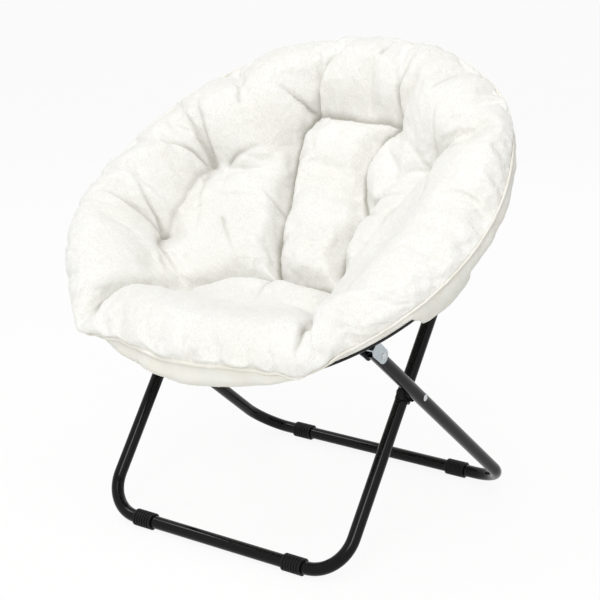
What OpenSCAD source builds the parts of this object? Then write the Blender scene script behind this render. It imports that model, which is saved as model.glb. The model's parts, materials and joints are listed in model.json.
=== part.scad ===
// Folding saucer chair: two crossed U-shaped legs carry a tilted hoop made of two hinged arcs,
// and a deep padded bowl of plush hangs in the hoop.
// +X is to the right of someone looking at the chair's front, +Y is its back, +Z is up.

/* [Legs] */
// Outside diameter of the leg tube
leg_tube_d = 22; // [18:0.5:26]
// Wall thickness of the leg tube
leg_tube_wall = 1.2; // [0.9:0.1:2]
// Distance of a front upright's centre line inside the hoop's widest point
front_leg_inset = 124.4; // [115:0.2:135]
// Gap between a front upright and the rear upright beside it
leg_gap = 7; // [5:0.5:9]
// Distance between the centre lines of the front and the rear floor bars
foot_spread = 501; // [480:1:520]
// Radius of the tube's bends at the floor, to the centre line
leg_bend_r = 66; // [50:1:80]
// Length of tube beyond the pivot at each leg's upper end
leg_end_past = 14; // [12:0.5:16]

/* [Foot sleeves] */
// Length of a foot sleeve along the floor bar
sleeve_len = 37; // [28:1:50]
// Wall of a foot sleeve
sleeve_wall = 3.6; // [2.5:0.1:5]
// Depth of the flat under a foot sleeve
sleeve_flat = 0.6; // [0.3:0.1:1]
// Number of grooves round a foot sleeve
sleeve_grooves = 6; // [2:2:6]
// Width of one groove
sleeve_groove_w = 2.4; // [1.5:0.1:3.5]
// Depth of one groove
sleeve_groove_depth = 1.2; // [0.5:0.1:2]
// Gap between a front foot sleeve and the bend beside it
front_sleeve_gap = 3.5; // [1:0.5:30]
// Gap between a rear foot sleeve and the bend beside it
rear_sleeve_gap = 16.5; // [1:0.5:40]

/* [Hoop] */
// Radius of the hoop to the tube's centre line
hoop_r = 367.4; // [360:0.2:375]
// Outside diameter of the hoop's tube
hoop_tube_d = 19; // [17:0.5:20]
// Wall thickness of the hoop's tube
hoop_tube_wall = 1.2; // [0.9:0.1:2]
// Tilt of the hoop, its back edge up
hoop_tilt = 36.6; // [35:0.1:38]
// Distance of the hoop's centre behind the front floor bar
hoop_setback = 217.1; // [210:0.1:222]
// Height of the hoop's centre above the floor
hoop_height = 546.8; // [540:0.1:560]

/* [Hoop hinge] */
// Angle of each hinge in front of the hoop's widest point
hinge_angle = 20; // [17:0.5:24]
// Distance of the hinge pin below the tube's centre line
hinge_drop = 18; // [17:0.5:22]
// Thickness of a hinge ear
ear_t = 3; // [2:0.5:4]
// Radius of an ear round its pin
ear_r = 7.4; // [6.5:0.1:8]
// Length of an ear where it joins the tube
ear_len = 15; // [12:1:17]
// Gap between the two tube ends that meet above the hinge
hinge_gap = 0.6; // [0.4:0.1:1.5]

/* [Brackets] */
// Thickness of the zinc-plated bracket plate
plate_t = 2; // [1.5:0.1:2.6]
// Radius of a cheek round its rivet
cheek_r = 12; // [10:0.5:13]
// Width of a cheek where it joins the web
cheek_top_w = 26; // [20:1:28]
// Distance of the front leg's pivot below the hoop tube's centre line
front_pivot_drop = 59.2; // [50:0.2:62]
// Distance of the rear leg's pivot below the hoop tube's centre line
rear_pivot_drop = 40; // [38:0.5:44]
// Distance of the rear leg's pivot behind the hoop tube's centre line
rear_pivot_back = 12.1; // [8:0.1:14]
// Gap between a cheek and the leg tube
cheek_gap = 1; // [0.5:0.1:1.4]

/* [Rivets] */
// Diameter of a rivet's shank
rivet_d = 6; // [5:0.5:7]
// Diameter of a rivet's head
rivet_head_d = 11; // [9:0.5:13]
// Height of a rivet's domed head
rivet_head_h = 2.4; // [1.5:0.1:3]
// Running clearance between a shank and what turns on it, on the radius
rivet_clear = 0.06; // [0.04:0.01:0.1]

/* [Cover] */
// Thickness of the flat cover cloth
cloth_t = 1.2; // [0.8:0.1:2]
// Height of the edge seam above the hoop's plane
seam_height = 22; // [16:1:28]
// Distance of the edge seam outside the hoop tube's centre line
seam_out = 13; // [11:0.5:18]
// How far the side band bulges between its seam and its foot
band_bulge = 4.5; // [2:0.5:8]
// Diameter of the piping in the edge seam
piping_d = 5; // [3:0.5:7]
// Depth of the cloth bowl below its rim
bowl_depth = 160; // [150:1:180]

/* [Padding] */
// Height of the padding's round edge roll above the seam
roll_height = 30; // [10:1:36]
// Depth of the padded seat at the middle, below the hoop's plane
seat_depth = 68; // [55:1:90]
// Depth of a sewn tuft
tuft_depth = 40; // [15:1:45]
// Radius of the hollow round a tuft
tuft_r = 60; // [45:1:75]
// Depth of a sewn channel between tufts
channel_depth = 28; // [8:1:34]
// Width of a channel
channel_w = 44; // [36:1:60]

/* [Hidden] */
$fn = 72;

// One overrun serves every cut
overrun = 1;
// Gap that keeps two separate pieces apart where they lie on each other
seat_gap = 0.3;
// Gap where a plate is welded to a tube
weld_gap = 0.02;

leg_r = leg_tube_d / 2;
hoop_tube_r = hoop_tube_d / 2;
sleeve_r = leg_r + sleeve_wall;
bar_z = sleeve_r - sleeve_flat;
front_x = hoop_r - front_leg_inset;
rear_x = front_x + leg_tube_d + leg_gap;
front_sleeve_x = front_x - leg_bend_r - front_sleeve_gap - sleeve_len / 2;
rear_sleeve_x = rear_x - leg_bend_r - rear_sleeve_gap - sleeve_len / 2;

// Edge band of the cover, as [distance outside the hoop's centre line, height above its plane]
band_foot = [hoop_tube_r - cloth_t / 2, -hoop_tube_r * 0.72];
band_steps = 8;
function band_point(share) = [
    band_foot[0] + (seam_out - band_foot[0]) * share + band_bulge * sin(180 * share),
    band_foot[1] + (seam_height - band_foot[1]) * share];
piping_at = [seam_out + piping_d * 0.2, seam_height + piping_d / 2 + seat_gap];
reach_back = max([for (i = [0:band_steps])
    (hoop_r + band_point(i / band_steps)[0]) * cos(hoop_tilt)
    - band_point(i / band_steps)[1] * sin(hoop_tilt)]);
reach_front = (hoop_r + piping_at[0]) * cos(hoop_tilt) + piping_at[1] * sin(hoop_tilt)
    + piping_d / 2;

// The chair stands with the middle of its outline over the origin
middle_y = hoop_setback + (reach_back - reach_front) / 2;
front_bar_y = -middle_y;
rear_bar_y = foot_spread - middle_y;
hoop_y = hoop_setback - middle_y;

// A point in the plane of a cross-section through the chair, as [y, z]
function in_hoop(along, up) = [
    hoop_y + along * cos(hoop_tilt) - up * sin(hoop_tilt),
    hoop_height + along * sin(hoop_tilt) + up * cos(hoop_tilt)];

// Where the uprights pass under the hoop's tube, and the pivots that hold them there
back_bracket_along = sqrt(hoop_r * hoop_r - front_x * front_x);
back_bracket_angle = atan2(back_bracket_along, front_x);
rear_bracket_along = -sqrt(hoop_r * hoop_r - rear_x * rear_x);
rear_bracket_angle = atan2(rear_bracket_along, rear_x);
rear_pivot_along = rear_bracket_along + rear_pivot_back;
front_pivot = in_hoop(back_bracket_along, -front_pivot_drop);
rear_pivot = in_hoop(rear_pivot_along, -rear_pivot_drop);

// Each leg runs straight from its floor bar to its upper pivot
front_pivot_len = norm(front_pivot - [front_bar_y, bar_z]);
rear_pivot_len = norm(rear_pivot - [rear_bar_y, bar_z]);
front_leg_rise = atan2(front_pivot[1] - bar_z, front_pivot[0] - front_bar_y);
rear_leg_rise = atan2(rear_pivot[1] - bar_z, rear_bar_y - rear_pivot[0]);

// Where the two legs cross
cross_y = front_bar_y + foot_spread * tan(rear_leg_rise) / (tan(front_leg_rise) + tan(rear_leg_rise));
cross_z = bar_z + (cross_y - front_bar_y) * tan(front_leg_rise);
front_cross_len = (cross_y - front_bar_y) / cos(front_leg_rise);

// Hoop hinges
hinge_x = hoop_r * cos(hinge_angle);
hinge_along = -hoop_r * sin(hinge_angle);
hinge_pin = in_hoop(hinge_along, -hinge_drop);
// How far up the tube an ear reaches, as a share of the tube's radius from its centre line
ear_seat_share = 0.6;

// Bowl of cloth that hangs in the hoop: a parabola from its rim down to its middle
bowl_rim_r = hoop_r - hoop_tube_r - seat_gap;
bowl_rim_n = -hoop_tube_r * 0.4;
bowl_steps = 12;
function bowl_n(r) = bowl_rim_n - bowl_depth * (1 - pow(r / bowl_rim_r, 2));

// Padding
pad_edge_r = hoop_r + seam_out - cloth_t - 2 * seat_gap;
pad_edge_n = seam_height - seat_gap;
pad_ledge_n = hoop_tube_r + 2 * seat_gap;
pad_ledge_r = hoop_r - 2.5 * hoop_tube_r;
pad_ledge_slope = 3.4;

// The four pivots that the chair folds on, as [y, z]
echo(front_leg_pivot = front_pivot, rear_leg_pivot = rear_pivot, hoop_hinge = hinge_pin,
    crossing = [cross_y, cross_z]);

module at_front_leg() {
    translate([0, front_bar_y, bar_z]) rotate([front_leg_rise, 0, 0]) children();
}

module at_rear_leg() {
    translate([0, rear_bar_y, bar_z]) rotate([180 - rear_leg_rise, 0, 0]) children();
}

module at_hoop() {
    translate([0, hoop_y, hoop_height]) rotate([hoop_tilt, 0, 0]) children();
}

module both_sides() {
    for (side = [-1, 1])
        scale_x(side) children();
}

// Right-hand shapes are drawn as they are, and left-hand ones are their mirror image
module scale_x(side) {
    if (side > 0) children();
    else mirror([1, 0, 0]) children();
}

// Solid bar along the route of a U-shaped leg, lying in the XY plane with its floor bar on X
module u_bar(half_span, len, r) {
    straight = half_span - leg_bend_r;
    rotate([0, 90, 0]) cylinder(r = r, h = 2 * straight, center = true);
    both_sides() {
        translate([straight, leg_bend_r, 0]) rotate([0, 0, -90])
            rotate_extrude(angle = 90) translate([leg_bend_r, 0]) circle(r = r);
        translate([half_span, leg_bend_r, 0]) rotate([-90, 0, 0]) cylinder(r = r, h = len - leg_bend_r);
    }
}

// A pin or a bore along X through the point [y, z] of the chair's section
module across(p, r, x0, x1) {
    translate([x0, p[0], p[1]]) rotate([0, 90, 0]) cylinder(r = r, h = x1 - x0);
}

module leg_holes(p) {
    across(p, rivet_d / 2 + rivet_clear, -rear_x - leg_tube_d, rear_x + leg_tube_d);
}

module front_leg_tube() {
    top = front_pivot_len + leg_end_past;
    color([0.05, 0.05, 0.06]) difference() {
        at_front_leg() u_bar(front_x, top, leg_r);
        at_front_leg() u_bar(front_x, top + overrun, leg_r - leg_tube_wall);
        leg_holes([cross_y, cross_z]);
        leg_holes(front_pivot);
    }
}

module rear_leg_tube() {
    top = rear_pivot_len + leg_end_past;
    color([0.05, 0.05, 0.06]) difference() {
        at_rear_leg() u_bar(rear_x, top, leg_r);
        at_rear_leg() u_bar(rear_x, top + overrun, leg_r - leg_tube_wall);
        leg_holes([cross_y, cross_z]);
        leg_holes(rear_pivot);
    }
}

// Ribbed sleeve that grips a floor bar, flat where it stands on the floor
module foot_sleeve(x, y) {
    pitch = sleeve_len / (sleeve_grooves + 1);
    color([0.08, 0.08, 0.08]) translate([x, y, bar_z]) difference() {
        rotate([0, 90, 0]) cylinder(r = sleeve_r, h = sleeve_len, center = true);
        rotate([0, 90, 0]) cylinder(r = leg_r + weld_gap, h = sleeve_len + 2 * overrun, center = true);
        translate([-sleeve_len / 2 - overrun, -sleeve_r, -bar_z - sleeve_r])
            cube([sleeve_len + 2 * overrun, 2 * sleeve_r, sleeve_r]);
        for (i = [1:sleeve_grooves])
            translate([i * pitch - sleeve_len / 2, 0, 0]) rotate([0, 90, 0]) difference() {
                cylinder(r = sleeve_r + overrun, h = sleeve_groove_w, center = true);
                cylinder(r = sleeve_r - sleeve_groove_depth, h = sleeve_groove_w + overrun, center = true);
            }
    }
}

module front_foot_sleeve_left() foot_sleeve(-front_sleeve_x, front_bar_y);
module front_foot_sleeve_right() foot_sleeve(front_sleeve_x, front_bar_y);
module rear_foot_sleeve_left() foot_sleeve(-rear_sleeve_x, rear_bar_y);
module rear_foot_sleeve_right() foot_sleeve(rear_sleeve_x, rear_bar_y);

// Moulded saddle that rides on a front upright and keeps the rear upright off it
module leg_spacer(side) {
    spacer_r = leg_r + 3 * cloth_t;
    saddle_len = leg_tube_d * 1.3;
    lip = leg_gap - seat_gap;
    color([0.06, 0.06, 0.06]) scale_x(side) difference() {
        union() {
            at_front_leg() translate([front_x, front_cross_len, 0]) intersection() {
                rotate([90, 0, 0]) cylinder(r = spacer_r, h = saddle_len, center = true);
                translate([-leg_r / 2, -saddle_len, -spacer_r])
                    cube([leg_r * 1.5 + lip, 2 * saddle_len, 2 * spacer_r]);
            }
            across([cross_y, cross_z], leg_r, front_x, front_x + leg_r + lip);
        }
        at_front_leg() translate([front_x, front_cross_len, 0])
            rotate([90, 0, 0]) cylinder(r = leg_r + weld_gap, h = 2 * saddle_len, center = true);
        across([cross_y, cross_z], rivet_d / 2 + rivet_clear, front_x, rear_x);
        translate([front_x + leg_r + lip, -foot_spread, 0]) cube([rear_x, 2 * foot_spread, hoop_height]);
    }
}

module leg_spacer_left() leg_spacer(-1);
module leg_spacer_right() leg_spacer(1);

// Domed rivet head whose flat face is at x, pointing along +X (dir 1) or -X (dir -1)
module rivet_head(p, x, dir) {
    dome_r = (pow(rivet_head_d / 2, 2) + pow(rivet_head_h, 2)) / (2 * rivet_head_h);
    translate([x, p[0], p[1]]) rotate([0, 90 * dir, 0]) rotate_extrude() intersection() {
        translate([0, rivet_head_h - dome_r]) circle(r = dome_r);
        square([rivet_head_d / 2, rivet_head_h]);
    }
}

// Rivet along X with a head outside each end
module rivet(p, x0, x1) {
    across(p, rivet_d / 2, x0 - rivet_head_h / 2, x1 + rivet_head_h / 2);
    rivet_head(p, x0, -1);
    rivet_head(p, x1, 1);
}

// The crossing rivets are parted between the legs, where that pivot is open
module crossing_rivets_inner() {
    p = [cross_y, cross_z];
    inner_face = front_x - leg_r - seat_gap;
    color([0.75, 0.76, 0.78]) both_sides() {
        across(p, rivet_d / 2, inner_face - rivet_head_h / 2, front_x + leg_r + leg_gap - seat_gap);
        rivet_head(p, inner_face, -1);
    }
}

module crossing_rivets_outer() {
    p = [cross_y, cross_z];
    outer_face = rear_x + leg_r + seat_gap;
    color([0.75, 0.76, 0.78]) both_sides() {
        across(p, rivet_d / 2, rear_x - leg_r, outer_face + rivet_head_h / 2);
        rivet_head(p, outer_face, 1);
    }
}

// Round bar along an arc of the hoop, in the hoop's own plane
module hoop_arc(from, to, r) {
    rotate([0, 0, from]) rotate_extrude(angle = to - from, $fn = 180) translate([hoop_r, 0]) circle(r = r);
}

// Everything behind the hinge line (part 1) or in front of it (part -1)
module hinge_side(part, gap) {
    depth = 2 * hoop_r;
    translate([-depth, part > 0 ? hinge_along + gap / 2 : hinge_along - gap / 2 - depth, -depth])
        cube([2 * depth, depth, 2 * depth]);
}

module hoop_tube(part) {
    color([0.05, 0.05, 0.06]) at_hoop() intersection() {
        rotate_extrude($fn = 180) translate([hoop_r, 0]) difference() {
            circle(r = hoop_tube_r);
            circle(r = hoop_tube_r - hoop_tube_wall);
        }
        hinge_side(part, hinge_gap);
    }
}

module back_hoop_tube() hoop_tube(1);
module front_hoop_tube() hoop_tube(-1);

// Flat ear welded under a tube end; the front and the back ear lie side by side on one pin
module hinge_ear(side, part) {
    x0 = hinge_x + (part > 0 ? seat_gap / 2 : -seat_gap / 2 - ear_t);
    drop = hinge_drop;
    color([0.08, 0.08, 0.09]) scale_x(side) at_hoop() difference() {
        translate([x0, hinge_along, -drop]) rotate([90, 0, 90]) linear_extrude(ear_t)
            mirror([part > 0 ? 0 : 1, 0]) union() {
                circle(r = ear_r);
                polygon([[ear_r, 0], [ear_len, drop - hoop_tube_r], [ear_len, drop - hoop_tube_r * ear_seat_share],
                    [hinge_gap, drop - hoop_tube_r * ear_seat_share], [hinge_gap, 0]]);
            }
        hoop_arc(-2 * hinge_angle, 0, hoop_tube_r + weld_gap);
        translate([0, hinge_along, -drop]) rotate([0, 90, 0])
            cylinder(r = rivet_d / 2 + rivet_clear, h = 2 * hoop_r);
    }
}

module back_hinge_ear_left() hinge_ear(-1, 1);
module back_hinge_ear_right() hinge_ear(1, 1);
module front_hinge_ear_left() hinge_ear(-1, -1);
module front_hinge_ear_right() hinge_ear(1, -1);

module hinge_rivets() {
    reach = ear_t + 2 * seat_gap;
    color([0.75, 0.76, 0.78]) both_sides() rivet(hinge_pin, hinge_x - reach, hinge_x + reach);
}

// U-shaped bracket under the hoop's tube at x: two cheeks that hold a leg's end, joined by a web.
// pivot is [along, drop] in the hoop's plane, and tube_along is where the tube's centre line passes.
module bracket(side, x, pivot_along, drop, tube_along) {
    web_n = -hoop_tube_r - plate_t;
    inside = leg_r + cheek_gap;
    top_mid = (pivot_along + tube_along) / 2;
    color([0.72, 0.74, 0.77]) scale_x(side) at_hoop() difference() {
        union() {
            for (cheek_x = [x - inside - plate_t, x + inside])
                translate([cheek_x, 0, 0]) rotate([90, 0, 90]) linear_extrude(plate_t) union() {
                    translate([pivot_along, -drop]) circle(r = cheek_r);
                    polygon([[pivot_along - cheek_r, -drop], [pivot_along + cheek_r, -drop],
                        [top_mid + cheek_top_w / 2, web_n - cheek_r / 2],
                        [top_mid + cheek_top_w / 2 - cheek_r / 3, web_n + plate_t],
                        [top_mid - cheek_top_w / 2 + cheek_r / 3, web_n + plate_t],
                        [top_mid - cheek_top_w / 2, web_n - cheek_r / 2]]);
                }
            translate([x - inside - plate_t, top_mid - cheek_top_w / 2 + cheek_r / 3, web_n])
                cube([2 * (inside + plate_t), cheek_top_w - 2 * cheek_r / 3, 2 * plate_t]);
        }
        hoop_arc(saddle_start(tube_along), saddle_start(tube_along) + 70, hoop_tube_r + weld_gap);
        translate([x, pivot_along, -drop]) rotate([0, 90, 0])
            cylinder(r = rivet_d / 2 + rivet_clear, h = 4 * leg_tube_d, center = true);
    }
}

// Where the arc that cuts a bracket's saddle starts
function saddle_start(tube_along) = tube_along > 0 ? 10 : -80;

module back_bracket_left() bracket(-1, front_x, back_bracket_along, front_pivot_drop, back_bracket_along);
module back_bracket_right() bracket(1, front_x, back_bracket_along, front_pivot_drop, back_bracket_along);
module front_bracket_left() bracket(-1, rear_x, rear_pivot_along, rear_pivot_drop, rear_bracket_along);
module front_bracket_right() bracket(1, rear_x, rear_pivot_along, rear_pivot_drop, rear_bracket_along);

module bracket_rivets(p, x) {
    reach = leg_r + cheek_gap + plate_t + seat_gap;
    color([0.75, 0.76, 0.78]) both_sides() rivet(p, x - reach, x + reach);
}

module back_bracket_rivets() bracket_rivets(front_pivot, front_x);
module front_bracket_rivets() bracket_rivets(rear_pivot, rear_x);

// Flat cloth band round the edge, from its foot beside the tube up to the edge seam
module cover_band(part) {
    outer = [for (i = [0:band_steps]) band_point(i / band_steps)];
    inner = [for (i = [band_steps:-1:0]) band_point(i / band_steps) - [cloth_t, 0]];
    color([0.93, 0.92, 0.88]) at_hoop() intersection() {
        rotate_extrude($fn = 180) translate([hoop_r, 0]) polygon(concat(outer, inner));
        hinge_side(part, seat_gap);
    }
}

module back_cover_band() cover_band(1);
module front_cover_band() cover_band(-1);

module edge_piping(part) {
    color([0.95, 0.94, 0.9]) at_hoop() intersection() {
        rotate_extrude($fn = 180) translate([hoop_r + piping_at[0], piping_at[1]]) circle(r = piping_d / 2, $fn = 24);
        hinge_side(part, seat_gap);
    }
}

module back_edge_piping() edge_piping(1);
module front_edge_piping() edge_piping(-1);

// Room that the cover leaves round a bracket, in the hoop's plane
module bracket_notch(x, along, width) {
    half = leg_r + cheek_gap + plate_t + seat_gap;
    both_sides() translate([x - half, along - width / 2, -2 * bowl_depth]) cube([2 * half, width, 2 * bowl_depth]);
}

// Cloth sleeve that runs under the tube from the band's foot to the bowl's rim
module sleeve_wrap(from, to) {
    inner = hoop_tube_r + seat_gap;
    rotate([0, 0, from]) rotate_extrude(angle = to - from, $fn = 180) translate([hoop_r, 0]) difference() {
        circle(r = inner + cloth_t);
        circle(r = inner);
        translate([-2 * inner, bowl_rim_n + 2 * cloth_t]) square([4 * inner, 2 * inner]);
        translate([0, band_foot[1] - seat_gap]) square([2 * inner, 2 * inner]);
    }
}

module cover_underside(part) {
    outer = [for (i = [0:bowl_steps]) let (r = bowl_rim_r * i / bowl_steps) [r, bowl_n(r)]];
    inner = [for (i = [bowl_steps:-1:0]) let (r = bowl_rim_r * i / bowl_steps) [r, bowl_n(r) + cloth_t]];
    clear_angle = 6;
    spans = part > 0
        ? [[-hinge_angle + clear_angle, back_bracket_angle - clear_angle],
            [back_bracket_angle + clear_angle, 180 - back_bracket_angle - clear_angle],
            [180 - back_bracket_angle + clear_angle, 180 + hinge_angle - clear_angle]]
        : [[rear_bracket_angle - 3 * clear_angle, -180 - rear_bracket_angle + 3 * clear_angle]];
    color([0.93, 0.92, 0.88]) at_hoop() intersection() {
        difference() {
            union() {
                rotate_extrude($fn = 180) polygon(concat(outer, inner));
                for (s = spans)
                    sleeve_wrap(min(s), max(s));
            }
            if (part > 0) bracket_notch(front_x, back_bracket_along, cheek_top_w + cheek_r);
            else bracket_notch(rear_x, (rear_pivot_along + rear_bracket_along) / 2, cheek_top_w + cheek_r);
            ear_room();
        }
        hinge_side(part, seat_gap);
    }
}

// Room that the cover leaves round the two hinge ears
module ear_room() {
    half = ear_t + rivet_head_h + 3 * seat_gap;
    both_sides() translate([hinge_x - half, hinge_along - ear_len - overrun, -2 * bowl_depth])
        cube([2 * half, 2 * (ear_len + overrun), 2 * bowl_depth]);
}

module back_cover_underside() cover_underside(1);
module front_cover_underside() cover_underside(-1);

// Padding. Tufts and channels are placed as shares of the hoop's radius, as [x, along].
tuft_shares = [[-0.26, 0.63], [0.23, 0.64], [-0.65, 0.21], [0.56, 0.38], [-0.67, -0.21], [0.67, -0.18],
    [-0.19, 0.11], [0.25, 0.14], [-0.02, -0.26], [0.35, -0.28]];
channel_shares = [[[-0.26, 0.63], [-0.19, 0.11]], [[-0.19, 0.11], [-0.02, -0.26]],
    [[0.23, 0.64], [0.25, 0.14]], [[0.25, 0.14], [0.35, -0.28]],
    [[-0.26, 0.63], [0.23, 0.64]], [[-0.26, 0.63], [-0.18, 0.98]], [[0.23, 0.64], [0.19, 0.98]],
    [[-0.65, 0.21], [-0.8, 0.43]], [[0.56, 0.38], [0.64, 0.67]], [[-0.67, -0.21], [-0.91, -0.08]],
    [[-0.65, 0.21], [-0.67, -0.21]], [[0.56, 0.38], [0.67, -0.18]],
    [[-0.02, -0.26], [-0.29, -0.37]], [[-0.29, -0.37], [-0.54, -0.75]],
    [[-0.02, -0.26], [0.35, -0.28]], [[0.35, -0.28], [0.41, -0.58]], [[0.41, -0.58], [0.49, -0.81]]];
function bump(d, width) = exp(-d * d / (2 * width * width));
function seg_distance(p, a, b) = let (
    t = max(0, min(1, ((p - a) * (b - a)) / ((b - a) * (b - a))))) norm(p - a - t * (b - a));
function tuft_pull(p) = max([for (s = tuft_shares) bump(norm(p - s * hoop_r), tuft_r / 2)]);
function channel_pull(p) = max([for (s = channel_shares)
    bump(seg_distance(p, s[0] * hoop_r, s[1] * hoop_r), channel_w / 2)]);
// The seat's plain bowl, with the roll that swells inside the edge seam
roll_share = 0.86;
function crown(r) = let (s = r / pad_edge_r)
    s > roll_share
        ? pad_edge_n + roll_height * sin(180 * (1 - s) / (2 * (1 - roll_share)))
        : let (t = s / roll_share) -seat_depth + (pad_edge_n + roll_height + seat_depth) * (0.7 * pow(t, 2) + 0.3 * pow(t, 5));
// Tufts and channels fade out towards the edge seam
function fade(r) = min(1, max(0, (pad_edge_r - r) / (pad_edge_r * (1 - roll_share))));
function top_n(p) = let (r = norm(p))
    crown(r) - fade(r) * max(tuft_depth * tuft_pull(p), channel_depth * channel_pull(p));
function bottom_n(p) = let (r = norm(p))
    r > pad_ledge_r ? pad_ledge_n
        : max(bowl_n(r) + cloth_t + seat_gap, pad_ledge_n - (pad_ledge_r - r) * pad_ledge_slope);

// Stations of the padding along a ray, as shares of the way in from the edge
ring_shares = [0, 0.02, 0.045, 0.07, 0.11, 0.16, 0.22, 0.29, 0.36, 0.44, 0.53, 0.63, 0.74, 0.88];
corner_angles = [0, 0.7, 1.6, 3.2, 6];
hinge_line = abs(hinge_along);
// Distance from the middle to the hinge line along a ray that points forwards of the hinges
function line_r(angle, gap) = (hinge_line + gap) / sin(-angle);
function edge_point(angle, r) = [r * cos(angle), r * sin(angle)];

// Closed form between a top and a bottom sheet of the same grid of points [x, along].
// Rows run along the edge; the last row lies inside the seat.
module padded_form(rows, closed) {
    n = len(rows);
    m = len(rows[0]);
    top = [for (row = rows) for (p = row) [p[0], p[1], max(top_n(p), bottom_n(p) + 2 * cloth_t)]];
    low = [for (row = rows) for (p = row) [p[0], p[1], bottom_n(p)]];
    k = n * m;
    wrap = closed ? m : m - 1;
    skin = [for (i = [0:n - 2]) for (j = [0:wrap - 1])
        let (a = i * m + j, b = i * m + (j + 1) % m, c = a + m, d = b + m) each [
            [a, c, b], [b, c, d], [k + a, k + b, k + c], [k + b, k + d, k + c]]];
    edge = [for (j = [0:wrap - 1]) let (a = j, b = (j + 1) % m) each [[a, b, k + a], [b, k + b, k + a]]];
    ends = closed
        ? let (last = (n - 1) * m) [for (j = [1:m - 2]) each [
            [last, last + j + 1, last + j], [k + last, k + last + j, k + last + j + 1]]]
        : let (last = (n - 1) * m) concat(
            [for (j = [0:m - 2]) each [[last + j, k + last + j, last + j + 1],
                [last + j + 1, k + last + j, k + last + j + 1]]],
            [for (i = [0:n - 2]) each [
                [i * m, k + i * m, (i + 1) * m], [(i + 1) * m, k + i * m, k + (i + 1) * m],
                [i * m + m - 1, (i + 1) * m + m - 1, k + i * m + m - 1],
                [(i + 1) * m + m - 1, k + (i + 1) * m + m - 1, k + i * m + m - 1]]]);
    polyhedron(points = concat(top, low), faces = concat(skin, edge, ends), convexity = 6);
}

module back_seat_pad() {
    side_step = 10;
    front_step = 20;
    gap = -seat_gap / 2;
    angles = concat(
        [for (a = [-hinge_angle:side_step:180 + hinge_angle]) a],
        [for (c = [1:len(corner_angles) - 1]) 180 + hinge_angle + corner_angles[c]],
        [for (a = [180 + hinge_angle + front_step:front_step:360 - hinge_angle - front_step + 1]) a],
        [for (c = [len(corner_angles) - 1:-1:1]) 360 - hinge_angle - corner_angles[c]]);
    function reach(a) = sin(-a) * pad_edge_r > hinge_line + gap ? line_r(a, gap) : pad_edge_r;
    color([0.96, 0.95, 0.92]) at_hoop() padded_form(
        [for (s = ring_shares) [for (a = angles) edge_point(a, reach(a) * (1 - s))]], true);
}

module front_seat_pad() {
    front_step = 8;
    gap = seat_gap / 2;
    start = 0.9;
    corners = [start, 1.6, 3.2, 6];
    angles = concat(
        [for (c = corners) -hinge_angle - c],
        [for (a = [-hinge_angle - 10:-front_step:hinge_angle - 180 + 10]) a],
        [for (i = [len(corners) - 1:-1:0]) hinge_angle - 180 + corners[i]]);
    color([0.96, 0.95, 0.92]) at_hoop() padded_form(
        [for (s = concat(ring_shares, [1])) [for (a = angles)
            edge_point(a, pad_edge_r + (line_r(a, gap) - pad_edge_r) * s)]], false);
}

front_leg_tube();
front_foot_sleeve_left();
front_foot_sleeve_right();
leg_spacer_left();
leg_spacer_right();
crossing_rivets_inner();
rear_leg_tube();
rear_foot_sleeve_left();
rear_foot_sleeve_right();
crossing_rivets_outer();
back_hoop_tube();
back_hinge_ear_left();
back_hinge_ear_right();
back_bracket_left();
back_bracket_right();
back_bracket_rivets();
back_cover_band();
back_cover_underside();
back_edge_piping();
back_seat_pad();
front_hoop_tube();
front_hinge_ear_left();
front_hinge_ear_right();
hinge_rivets();
front_bracket_left();
front_bracket_right();
front_bracket_rivets();
front_cover_band();
front_cover_underside();
front_edge_piping();
front_seat_pad();
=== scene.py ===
import json
import math

import bmesh
import bpy
import numpy as np
from mathutils import Matrix, Vector, noise


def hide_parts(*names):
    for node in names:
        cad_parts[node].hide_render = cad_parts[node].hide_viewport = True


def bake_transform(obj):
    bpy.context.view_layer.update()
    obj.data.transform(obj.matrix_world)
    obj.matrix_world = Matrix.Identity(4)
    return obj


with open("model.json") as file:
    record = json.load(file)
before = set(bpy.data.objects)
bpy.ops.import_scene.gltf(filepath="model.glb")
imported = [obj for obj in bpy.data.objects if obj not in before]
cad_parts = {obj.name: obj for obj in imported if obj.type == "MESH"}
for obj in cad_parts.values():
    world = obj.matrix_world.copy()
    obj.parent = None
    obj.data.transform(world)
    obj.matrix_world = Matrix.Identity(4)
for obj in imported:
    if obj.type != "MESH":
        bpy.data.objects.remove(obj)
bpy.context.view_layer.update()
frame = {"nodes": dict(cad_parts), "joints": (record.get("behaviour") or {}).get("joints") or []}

bl_info = {
    "name": "Folding Saucer Chair",
    "version": (1, 0, 0),
    "blender": (4, 5, 0),
    "location": "View3D > Sidebar > Chair",
    "description": "Dresses the folding saucer chair's frame with its plush seat, cover and finishes",
    "category": "Object",
}

MM = 0.001

# The hoop's own plane and the radius of its tube, as in part.scad
HOOP_MIDDLE = Vector((0, 0.00865, 0.5468))
HOOP_TILT = math.radians(36.6)
TILT_COS = math.cos(HOOP_TILT)
TILT_SIN = math.sin(HOOP_TILT)
TUBE_R = 0.0095
# Radius of the hoop at the tube's centre line, from the frame, to a tenth of a millimetre
HOOP_WIDEST = max(corner[0] for corner in frame["nodes"]["back_hoop_tube"].bound_box)
HOOP_R = round(HOOP_WIDEST - TUBE_R, 4)


def hoop_point(x, along, up):
    """Points given in the hoop's plane, along it and above it, as points of the chair."""
    x, along, up = np.broadcast_arrays(x, along, up)
    return np.stack([x, HOOP_MIDDLE.y + along * TILT_COS - up * TILT_SIN,
                     HOOP_MIDDLE.z + along * TILT_SIN + up * TILT_COS], -1)


def hoop_vector(x, along, up):
    return Vector(hoop_point(x, along, up))


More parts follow.
